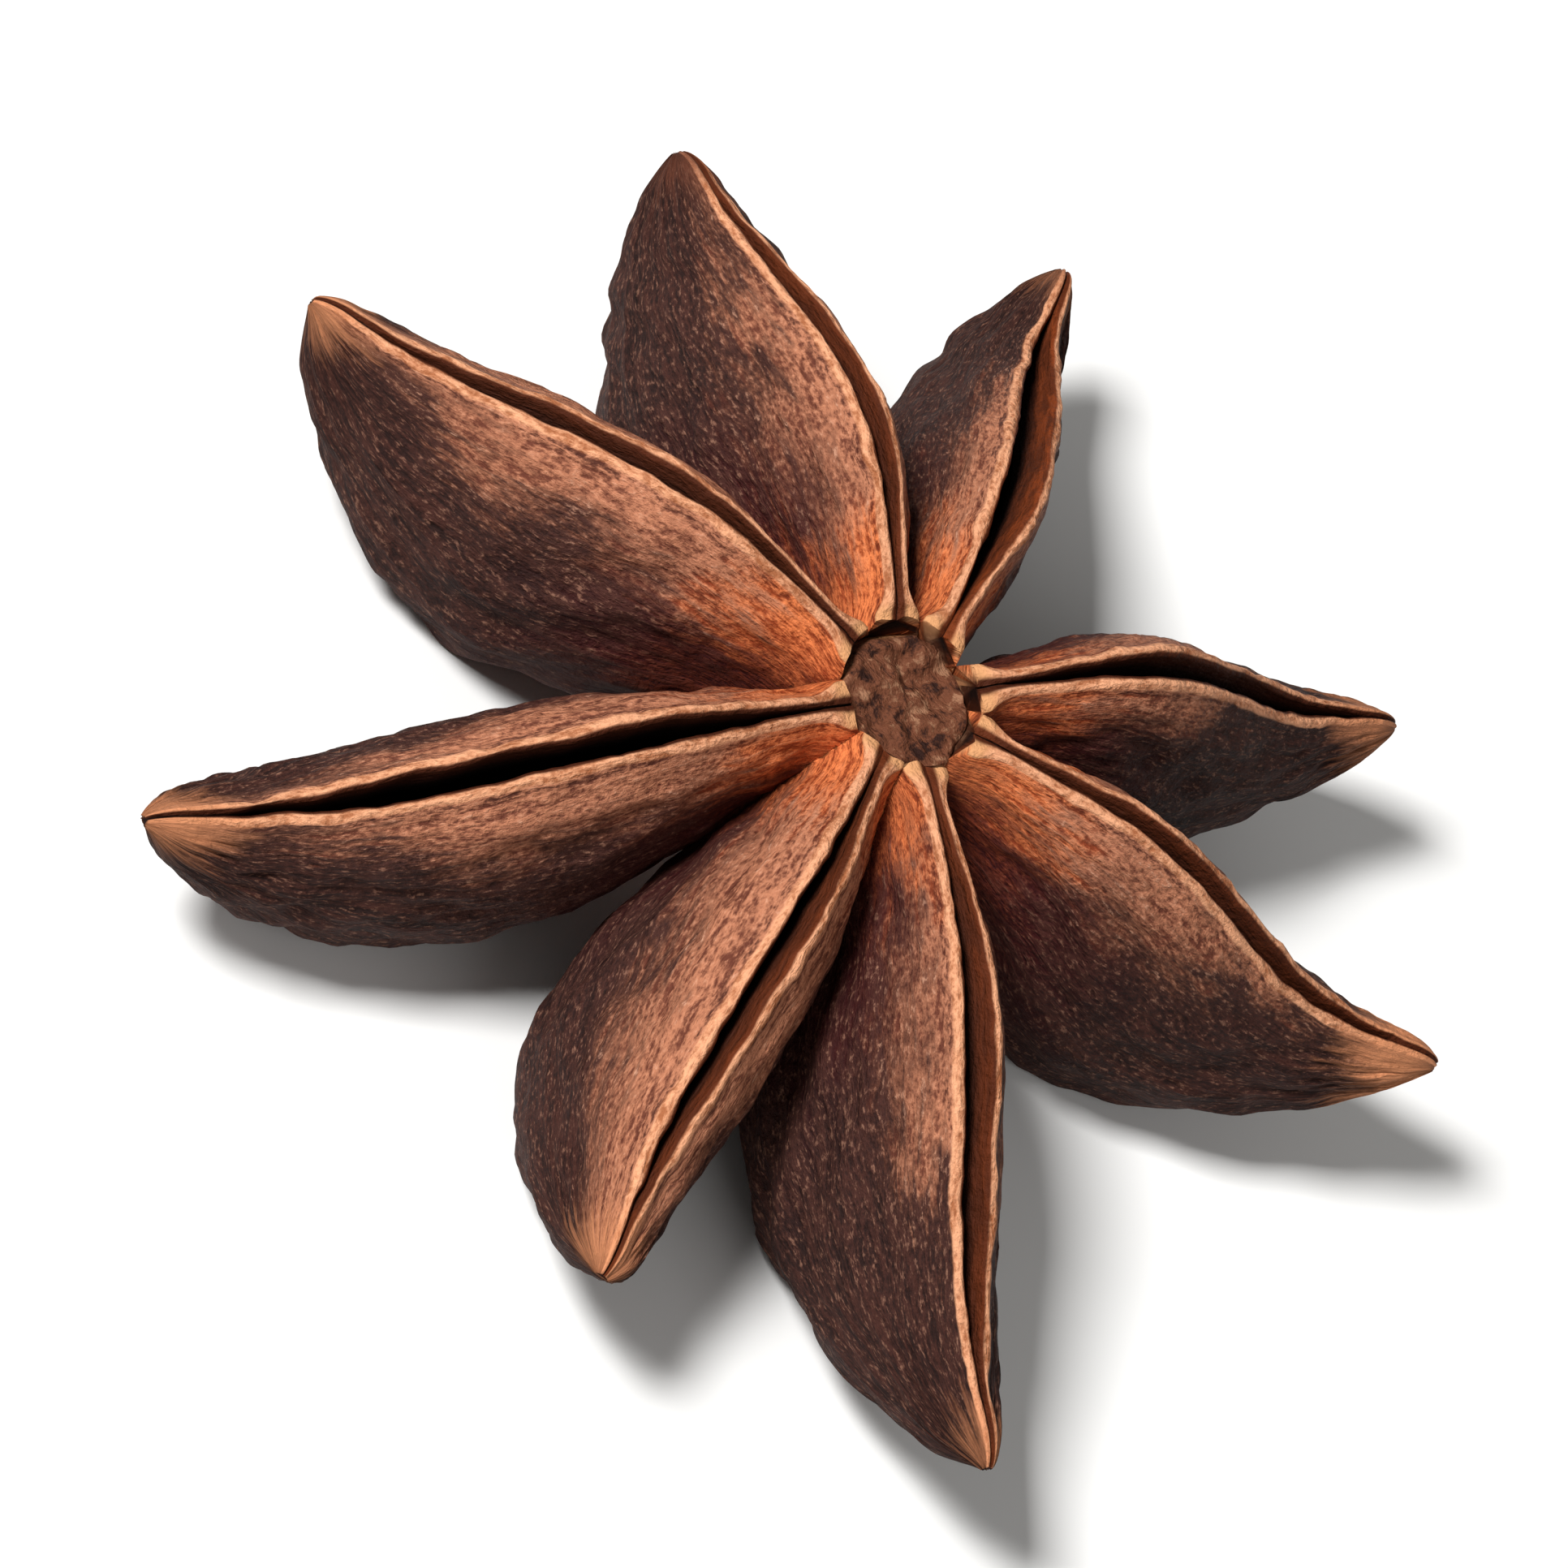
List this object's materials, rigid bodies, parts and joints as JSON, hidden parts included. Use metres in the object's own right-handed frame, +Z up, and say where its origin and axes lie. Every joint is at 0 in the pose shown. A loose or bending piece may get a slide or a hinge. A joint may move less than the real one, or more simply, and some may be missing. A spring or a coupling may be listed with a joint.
{
  "type": "star anise pod",
  "caption": "Dried star anise pod: split, boat-shaped woody carpels with pale lips, fused as a star round a short column.",
  "frame": {"origin": "under the middle of the pod's bounding box, at the level that its keels rest on", "axes": "+Z up, out of the seams; +Y away from the picture's viewpoint, +X to its right once the picture is turned so that +Z points up"},
  "size_m": [0.0302, 0.0308, 0.0096],
  "materials": {
    "husk": "dry, matt, finely striated"
  },
  "bodies": {
    "root": {"star_anise_pod": "husk"}
  },
  "joints": []
}
